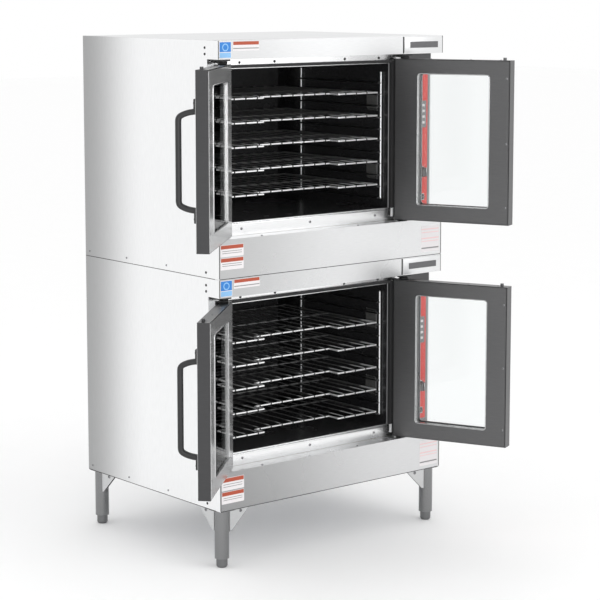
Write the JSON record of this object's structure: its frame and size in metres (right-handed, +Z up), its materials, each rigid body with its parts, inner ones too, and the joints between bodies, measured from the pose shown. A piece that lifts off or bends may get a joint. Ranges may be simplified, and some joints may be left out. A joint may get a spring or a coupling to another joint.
{
  "type": "double deck convection oven",
  "caption": "Free-standing double-deck convection oven on legs, with hinged glass French doors, sliding wire racks, circulation fans and side controls.",
  "frame": {"origin": "on the floor, at the middle of the footprint with the doors open as stored", "axes": "+Z up, +Y from the doors to the back, +X to the right as seen from the front"},
  "size_m": [1.3909, 1.2644, 1.797],
  "materials": {
    "stainless": "brushed, bright",
    "galvanised": "plain mill finish",
    "cavity_enamel": "dark porcelain enamel",
    "door_grey": "dark brushed steel",
    "window_glass": "clear",
    "handle_black": "satin black",
    "rack_chrome": "bright nickel-chrome plate",
    "fan_steel": "satin",
    "motor_paint": "semi-gloss",
    "element_metal": "dull, heat darkened",
    "gasket_fibre": "woven glass fibre",
    "lamp_glass": "frosted",
    "insulation_wool": "matt mineral wool",
    "knob_plastic": "satin grey",
    "leg_steel": "satin"
  },
  "bodies": {
    "cabinet": {"lower_header": "stainless", "lower_lower_panel": "stainless", "lower_front_frame": "stainless", "lower_cavity_liner": "cavity_enamel", "lower_rack_guides": "rack_chrome", "lower_control_panel": "stainless", "upper_header": "stainless", "upper_lower_panel": "stainless", "upper_front_frame": "stainless", "upper_cavity_liner": "cavity_enamel", "upper_rack_guides": "rack_chrome", "upper_control_panel": "stainless", "legs": "leg_steel", "side_panels": "stainless", "rear_panels": "galvanised", "top_panel": "stainless", "base_pans": "galvanised", "insulation": "insulation_wool", "fan_motors": "motor_paint", "fan_baffles": "cavity_enamel", "heating_elements": "element_metal", "door_gaskets": "gasket_fibre", "interior_lamps": "lamp_glass", "door_pivots": "galvanised"},
    "lower_rack_1": {"lower_rack_1": "rack_chrome"},
    "lower_rack_2": {"lower_rack_2": "rack_chrome"},
    "lower_rack_3": {"lower_rack_3": "rack_chrome"},
    "lower_rack_4": {"lower_rack_4": "rack_chrome"},
    "lower_rack_5": {"lower_rack_5": "rack_chrome"},
    "lower_left_door": {"lower_left_door_shell": "door_grey", "lower_left_door_liner": "door_grey", "lower_left_door_glass": "window_glass", "lower_left_door_handle": "handle_black"},
    "lower_right_door": {"lower_right_door_shell": "door_grey", "lower_right_door_liner": "door_grey", "lower_right_door_glass": "window_glass", "lower_right_door_handle": "handle_black"},
    "lower_fan_wheel": {"lower_fan_wheel": "fan_steel"},
    "lower_temperature_knob": {"lower_temperature_knob": "knob_plastic"},
    "lower_power_switch": {"lower_power_switch": "knob_plastic"},
    "upper_rack_1": {"upper_rack_1": "rack_chrome"},
    "upper_rack_2": {"upper_rack_2": "rack_chrome"},
    "upper_rack_3": {"upper_rack_3": "rack_chrome"},
    "upper_rack_4": {"upper_rack_4": "rack_chrome"},
    "upper_rack_5": {"upper_rack_5": "rack_chrome"},
    "upper_left_door": {"upper_left_door_shell": "door_grey", "upper_left_door_liner": "door_grey", "upper_left_door_glass": "window_glass", "upper_left_door_handle": "handle_black"},
    "upper_right_door": {"upper_right_door_shell": "door_grey", "upper_right_door_liner": "door_grey", "upper_right_door_glass": "window_glass", "upper_right_door_handle": "handle_black"},
    "upper_fan_wheel": {"upper_fan_wheel": "fan_steel"},
    "upper_temperature_knob": {"upper_temperature_knob": "knob_plastic"},
    "upper_power_switch": {"upper_power_switch": "knob_plastic"},
    "foot_front_left": {"foot_front_left": "leg_steel"},
    "foot_front_right": {"foot_front_right": "leg_steel"},
    "foot_rear_left": {"foot_rear_left": "leg_steel"},
    "foot_rear_right": {"foot_rear_right": "leg_steel"}
  },
  "joints": [
    {"name": "lower_rack_1_slide", "type": "slide", "parent": "cabinet", "child": "lower_rack_1", "axis": [0, -1, 0], "range_m": [0, 0.35]},
    {"name": "lower_rack_2_slide", "type": "slide", "parent": "cabinet", "child": "lower_rack_2", "axis": [0, -1, 0], "range_m": [0, 0.35]},
    {"name": "lower_rack_3_slide", "type": "slide", "parent": "cabinet", "child": "lower_rack_3", "axis": [0, -1, 0], "range_m": [0, 0.35]},
    {"name": "lower_rack_4_slide", "type": "slide", "parent": "cabinet", "child": "lower_rack_4", "axis": [0, -1, 0], "range_m": [0, 0.35]},
    {"name": "lower_rack_5_slide", "type": "slide", "parent": "cabinet", "child": "lower_rack_5", "axis": [0, -1, 0], "range_m": [0, 0.35]},
    {"name": "lower_left_door_hinge", "type": "hinge", "parent": "cabinet", "child": "lower_left_door", "pos_m": [-0.36034, -0.24839, 0.631], "axis": [0, 0, -1], "range_deg": [-137, 3]},
    {"name": "lower_right_door_hinge", "type": "hinge", "parent": "cabinet", "child": "lower_right_door", "pos_m": [0.46166, -0.24839, 0.631], "axis": [0, 0, 1], "range_deg": [-114, 26]},
    {"name": "lower_fan_spin", "type": "hinge", "parent": "cabinet", "child": "lower_fan_wheel", "pos_m": [0.05067, 0.39261, 0.643], "axis": [0, 1, 0], "continuous": true},
    {"name": "lower_knob_turn", "type": "hinge", "parent": "cabinet", "child": "lower_temperature_knob", "pos_m": [0.58617, -0.20739, 0.503], "axis": [0, 1, 0], "range_deg": [0, 300]},
    {"name": "lower_switch_rock", "type": "hinge", "parent": "cabinet", "child": "lower_power_switch", "pos_m": [0.59017, -0.20439, 0.411], "axis": [1, 0, 0], "range_deg": [-24, 0]},
    {"name": "upper_rack_1_slide", "type": "slide", "parent": "cabinet", "child": "upper_rack_1", "axis": [0, -1, 0], "range_m": [0, 0.35]},
    {"name": "upper_rack_2_slide", "type": "slide", "parent": "cabinet", "child": "upper_rack_2", "axis": [0, -1, 0], "range_m": [0, 0.35]},
    {"name": "upper_rack_3_slide", "type": "slide", "parent": "cabinet", "child": "upper_rack_3", "axis": [0, -1, 0], "range_m": [0, 0.35]},
    {"name": "upper_rack_4_slide", "type": "slide", "parent": "cabinet", "child": "upper_rack_4", "axis": [0, -1, 0], "range_m": [0, 0.35]},
    {"name": "upper_rack_5_slide", "type": "slide", "parent": "cabinet", "child": "upper_rack_5", "axis": [0, -1, 0], "range_m": [0, 0.35]},
    {"name": "upper_left_door_hinge", "type": "hinge", "parent": "cabinet", "child": "upper_left_door", "pos_m": [-0.36034, -0.24839, 1.428], "axis": [0, 0, -1], "range_deg": [-137, 3]},
    {"name": "upper_right_door_hinge", "type": "hinge", "parent": "cabinet", "child": "upper_right_door", "pos_m": [0.46166, -0.24839, 1.428], "axis": [0, 0, 1], "range_deg": [-114, 26]},
    {"name": "upper_fan_spin", "type": "hinge", "parent": "cabinet", "child": "upper_fan_wheel", "pos_m": [0.05067, 0.39261, 1.44], "axis": [0, 1, 0], "continuous": true},
    {"name": "upper_knob_turn", "type": "hinge", "parent": "cabinet", "child": "upper_temperature_knob", "pos_m": [0.58617, -0.20739, 1.3], "axis": [0, 1, 0], "range_deg": [0, 300]},
    {"name": "upper_switch_rock", "type": "hinge", "parent": "cabinet", "child": "upper_power_switch", "pos_m": [0.59017, -0.20439, 1.208], "axis": [1, 0, 0], "range_deg": [-24, 0]},
    {"name": "foot_front_left_turn", "type": "hinge", "parent": "cabinet", "child": "foot_front_left", "pos_m": [-0.35984, -0.23139, 0.02], "axis": [0, 0, 1], "range_deg": [-180, 180]},
    {"name": "foot_front_right_turn", "type": "hinge", "parent": "cabinet", "child": "foot_front_right", "pos_m": [0.59616, -0.23139, 0.02], "axis": [0, 0, 1], "range_deg": [-180, 180]},
    {"name": "foot_rear_left_turn", "type": "hinge", "parent": "cabinet", "child": "foot_rear_left", "pos_m": [-0.35984, 0.49661, 0.02], "axis": [0, 0, 1], "range_deg": [-180, 180]},
    {"name": "foot_rear_right_turn", "type": "hinge", "parent": "cabinet", "child": "foot_rear_right", "pos_m": [0.59616, 0.49661, 0.02], "axis": [0, 0, 1], "range_deg": [-180, 180]}
  ]
}
